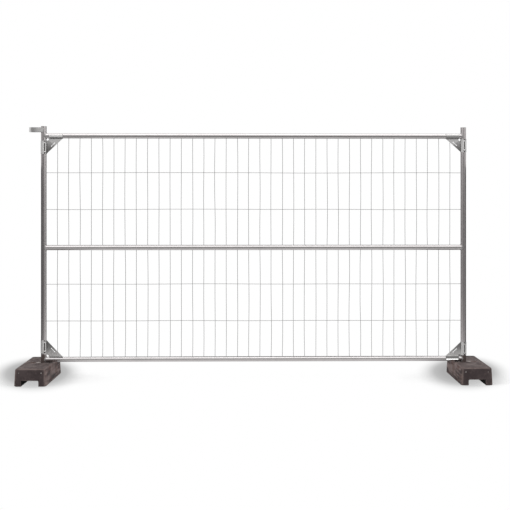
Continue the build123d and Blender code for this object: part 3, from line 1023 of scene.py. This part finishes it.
def nubMesh(place, outward):
    # a low dome that stands on the block's end and sinks a little into it
    verts, faces = [], []
    rings, sides = nubLook["rings"], nubLook["sides"]
    for i in range(rings):
        share = i / (rings - 1)
        reach = nubLook["radius"] * (1 - nubLook["taper"] * share ** 2)
        rise = (nubLook["proud"] + nubLook["sunk"]) * math.sin(share * math.pi / 2) - nubLook["sunk"]
        for k in range(sides):
            turn = 2 * math.pi * k / sides
            verts.append(place + Vector((reach * math.cos(turn), outward * rise, reach * math.sin(turn))))
    for i in range(rings - 1):
        for k in range(sides):
            n = (k + 1) % sides
            faces.append((i * sides + k, i * sides + n, (i + 1) * sides + n, (i + 1) * sides + k))
    faces.append(tuple((rings - 1) * sides + k for k in range(sides)))
    faces.append(tuple(reversed(range(sides))))
    if outward > 0:
        faces = [tuple(reversed(face)) for face in faces]
    return verts, faces


nubPlastic = mottledMaterial("nubPlastic", nubLook)
for side in ("left", "right"):
    low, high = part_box(side + "_foot")
    middleX = (low.x + high.x) / 2
    inset = nubLook["draft"] * nubLook["height"] / footTop
    nubs = []
    for outward, faceY in ((-1, low.y + inset), (1, high.y - inset)):
        for across in (-1, 1):
            place = Vector((middleX + across * nubLook["spread"], faceY, nubLook["height"]))
            nubs.append(nubMesh(place, outward))
    addPiece(side + "FootNubs", *gather(nubs), nubPlastic, "foot_plastic", side + "_foot_block")
print("foot nubs made")


# camera at the photograph's place

cameraLook = {"away": 8.8, "height": 1.462, "turn": 1.0, "lens": 75.96, "sensor": 36.0,
              "shift": (-0.0354, -0.10745)}
cameraData = bpy.data.cameras.new("photoCamera")
cameraData.lens = cameraLook["lens"]
cameraData.sensor_width = cameraLook["sensor"]
cameraData.shift_x, cameraData.shift_y = cameraLook["shift"]
camera = bpy.data.objects.new("photoCamera", cameraData)
camera.location = (0, -cameraLook["away"], cameraLook["height"])
camera.rotation_euler = (math.radians(90), 0, -math.radians(cameraLook["turn"]))
scene.collection.objects.link(camera)
scene.camera = camera
print("camera set")


# soft light from a wide box overhead, white all round

lightLook = {"radiance": 1.32, "size": (8.0, 6.0), "place": (0.0, -1.9, 6.0), "worldDiffuse": 0.45}
white = (1, 1, 1)
boxData = bpy.data.lights.new("ceilingBox", "AREA")
boxData.shape = "RECTANGLE"
boxData.size, boxData.size_y = lightLook["size"]
boxData.energy = lightLook["radiance"] * math.pi * boxData.size * boxData.size_y
ceilingBox = bpy.data.objects.new("ceilingBox", boxData)
ceilingBox.location = lightLook["place"]
ceilingBox.visible_camera = False
scene.collection.objects.link(ceilingBox)


def whiteWorld():
    # full white where it is seen, reflected or seen through, and dimmer as a light
    world = bpy.data.worlds.new("whiteStudio")
    world.use_nodes = True
    scene.world = world
    tree = world.node_tree
    path = put(tree, "ShaderNodeLightPath").outputs
    seen = maths("MAXIMUM", path["Is Camera Ray"], path["Is Glossy Ray"])
    seen = maths("MAXIMUM", seen, path["Is Transmission Ray"])
    background = tree.nodes["Background"]
    feed(background.inputs["Color"], white)
    feed(background.inputs["Strength"], spread(seen, 0.0, 1.0, lightLook["worldDiffuse"], 1.0))
    layOut(tree)


whiteWorld()
print("lights set")


# helpers of the studio's sheets

def stageMaterial(name):
    material = bpy.data.materials.new(name)
    material.use_nodes = True
    tree = material.node_tree
    tree.nodes.clear()
    return material, tree, put(tree, "ShaderNodeOutputMaterial").inputs["Surface"]


def glow(tree, colour, strength=1.0):
    return put(tree, "ShaderNodeEmission", Color=colour, Strength=strength).outputs[0]


def mixShaders(share, under, over):
    node = put(share.id_data, "ShaderNodeMixShader")
    for socket, value in zip(node.inputs, (share, under, over)):
        feed(socket, value)
    return node.outputs[0]


def toneRamp(value, stops):
    ramp = put(value.id_data, "ShaderNodeValToRGB", Fac=value)
    elements = ramp.color_ramp.elements
    while len(elements) < len(stops):
        elements.new(0.5)
    for element, (where, tone) in zip(elements, stops):
        element.position = where
        element.color = (tone, tone, tone, 1)
    return ramp.outputs["Color"]


def position(tree):
    return axes(put(tree, "ShaderNodeNewGeometry").outputs["Position"])


def stageSheet(name, verts, faces, material, mirroredOnly=True):
    mesh = bpy.data.meshes.new(name)
    mesh.from_pydata(verts, [], faces)
    mesh.materials.append(material)
    sheet = bpy.data.objects.new(name, mesh)
    scene.collection.objects.link(sheet)
    if mirroredOnly:
        # for reflections alone
        sheet.visible_camera = False
        sheet.visible_diffuse = False
        sheet.visible_shadow = False
        sheet.visible_transmission = False
    return sheet


# white ground with the soft shade of the part

floorLook = {"reach": 60.0, "albedo": (0.75, 0.75, 0.75), "samples": 6, "shadowReach": 0.5,
             "leans": (((-1, 0), 1.0), ((1, 0), 1.0), ((0, -1), 0.8), ((0, 1), 0.35)), "leanRise": 0.12,
             "shadow": ((0.0, 1.0), (0.42, 1.0), (0.55, 0.82), (0.70, 0.56), (0.85, 0.60), (0.97, 0.86)),
             "channel": (0.40, 0.75, 0.0, 0.9), "channelShadeTone": (0.77, 0.77, 0.77),
             "mirror": ((0.0, 1.0), (0.06, 1.0), (0.20, 0.62), (0.42, 0.30), (1.0, 0.28)), "mirrorReach": 9.0}
# the wide soft shadow round each foot, longer behind it
haloLook = {"shift": (0.06, 0.365), "drift": -0.027, "lean": 11.0, "lifted": 0.10, "liftedShare": 0.6,
            "size": (0.455, 1.155), "tall": 1000.0,  # so tall that height doesn't count
            "tones": ((0.0, 0.41), (0.40, 0.43), (0.47, 0.47), (0.55, 0.52), (0.62, 0.65), (0.69, 0.79),
                      (0.77, 0.90), (0.84, 0.97), (0.92, 1.0))}
footBlocks = (("left_foot_block", -1), ("right_foot_block", 1))


def footHalo(tree, block, outward):
    # a long oval of shade that goes with the foot, fainter under a foot that is lifted
    body = frame["bodies"][block]
    toBody = body.matrix_world.inverted()
    shiftX, shiftY = haloLook["shift"]
    middle = Vector((outward * (footCentreX + shiftX) + haloLook["drift"], shiftY, 0))
    coords = put(tree, "ShaderNodeTexCoord", object=body).outputs["Object"]
    oval = put(tree, "ShaderNodeMapping", vector_type="TEXTURE", Vector=coords, Location=toBody @ middle,
               Rotation=(0, 0, -outward * math.radians(haloLook["lean"])),
               Scale=(*haloLook["size"], haloLook["tall"])).outputs[0]
    tone = toneRamp(vectorMaths("LENGTH", oval)["Value"], haloLook["tones"])
    ground = (toBody @ Vector((0, 0, 0))).z
    lifted = spread(axes(coords)["Z"], ground, ground - haloLook["lifted"], 0.0, haloLook["liftedShare"])
    return blend(lifted, tone, white)


def floorMaterial():
    # white ground that keeps a soft shadow where the part stands close to it
    material, tree, surface = stageMaterial("whiteFloor")
    # how much of each low side of the sky is blocked by what stands near
    blocked, total = [], None
    for (leanX, leanY), weight in floorLook["leans"]:
        lean = put(tree, "ShaderNodeCombineXYZ", X=leanX, Y=leanY, Z=floorLook["leanRise"]).outputs[0]
        shade = put(tree, "ShaderNodeAmbientOcclusion", samples=floorLook["samples"],
                    Distance=floorLook["shadowReach"], Normal=lean)
        blocked.append(minus(1.0, shade.outputs["AO"]))
        share = times(blocked[-1], weight)
        total = share if total is None else plus(total, share)
    shadow = toneRamp(total, floorLook["shadow"])
    for block, outward in footBlocks:
        shadow = blend(1.0, shadow, footHalo(tree, block, outward), "DARKEN")
    # between a block's two runners the ground is paler again
    between = spread(maths("MINIMUM", blocked[0], blocked[1]), *floorLook["channel"])
    shadow = blend(between, shadow, floorLook["channelShadeTone"])
    # in reflections the ground is white by the panel and greyer further off
    far = maths("DIVIDE", maths("ABSOLUTE", position(tree)["Y"]), floorLook["mirrorReach"])
    mirrored = blend(1.0, toneRamp(far, floorLook["mirror"]), shadow, "MULTIPLY")
    lit = put(tree, "ShaderNodeBsdfDiffuse", Color=floorLook["albedo"]).outputs[0]
    path = put(tree, "ShaderNodeLightPath").outputs
    seen = mixShaders(path["Is Camera Ray"], lit, glow(tree, shadow))
    bounce = maths("MAXIMUM", path["Is Glossy Ray"], path["Is Transmission Ray"])
    feed(surface, mixShaders(bounce, seen, glow(tree, mirrored)))
    layOut(tree)
    return material


floorReach = floorLook["reach"]
floorCorners = [(x * floorReach, y * floorReach, 0) for x, y in ((-1, -1), (1, -1), (1, 1), (-1, 1))]
floor = stageSheet("floor", floorCorners, [(0, 1, 2, 3)], floorMaterial(), mirroredOnly=False)
for block, outward in footBlocks:
    # the ground lies under whichever foot is lower, so a foot drawn off its post doesn't sink into it
    under = floor.constraints.new("FLOOR")
    under.target = frame["bodies"][block]
    under.floor_location = "FLOOR_NEGATIVE_Z"
print("ground laid")


# grey studio wall that only reflections see: dark behind the camera, open at the back

wallLook = {"radius": 13.0, "height": 5.2, "sides": 48, "open": 58.0, "sideways": (0.35, 0.80),
            "tones": ((0.0, 0.26), (0.25, 0.34), (0.6, 0.66), (1.0, 0.72)),
            "lift": ((0.0, 0.95), (0.46, 0.85), (0.555, 2.8), (0.85, 3.2), (1.0, 3.2))}


def wallMaterial():
    # brighter with height behind the camera, and even at the sides
    material, tree, surface = stageMaterial("studioWall")
    place = position(tree)
    depth = maths("DIVIDE", plus(place["Y"], wallLook["radius"]), wallLook["radius"])
    rise = maths("DIVIDE", place["Z"], wallLook["height"])
    lift = blend(spread(depth, *wallLook["sideways"]), toneRamp(rise, wallLook["lift"]), white)
    feed(surface, glow(tree, toneRamp(depth, wallLook["tones"]), lift))
    layOut(tree)
    return material


wallVerts, wallFaces = [], []
for i in range(wallLook["sides"] + 1):
    turn = math.radians(wallLook["open"] + (360 - 2 * wallLook["open"]) * i / wallLook["sides"])
    x, y = wallLook["radius"] * math.sin(turn), wallLook["radius"] * math.cos(turn)
    wallVerts += [(x, y, 0), (x, y, wallLook["height"])]
for i in range(wallLook["sides"]):
    wallFaces.append((2 * i, 2 * i + 1, 2 * i + 3, 2 * i + 2))
stageSheet("studioWall", wallVerts, wallFaces, wallMaterial())


# darker cards close to the panel, seen by reflections alone: behind it, beside each post and overhead

plainCard = {"base": 0.0, "height": 0.0, "back": 0.0}
cardLooks = {
    "behind": {"corners": ((-1.55, 1.5), (1.55, 1.5)), "height": 2.35, "tone": 0.14},
    "leftFlag": {"corners": ((-2.12, -0.32), (-2.12, 0.62)), "height": 1.75, "tone": 0.17},
    "rightFlag": {"corners": ((2.12, -0.32), (2.12, 0.62)), "height": 1.75, "tone": 0.17},
    "overhead": {"corners": ((-2.0, 0.36), (2.0, 0.36)), "base": 2.2, "back": 2.6, "tone": 0.12},
}
for cardName, cardLook in cardLooks.items():
    look = {**plainCard, **cardLook}
    material, tree, surface = stageMaterial(cardName + "Card")
    feed(surface, glow(tree, (look["tone"],) * 3))
    layOut(tree)
    (ax, ay), (bx, by) = look["corners"]
    low, high, back = look["base"], look["base"] + look["height"], look["back"]
    cardCorners = [(ax, ay, low), (bx, by, low), (bx, by + back, high), (ax, ay + back, high)]
    stageSheet(cardName + "Card", cardCorners, [(0, 1, 2, 3)], material)
scene.view_settings.view_transform = "Standard"
print("studio set")
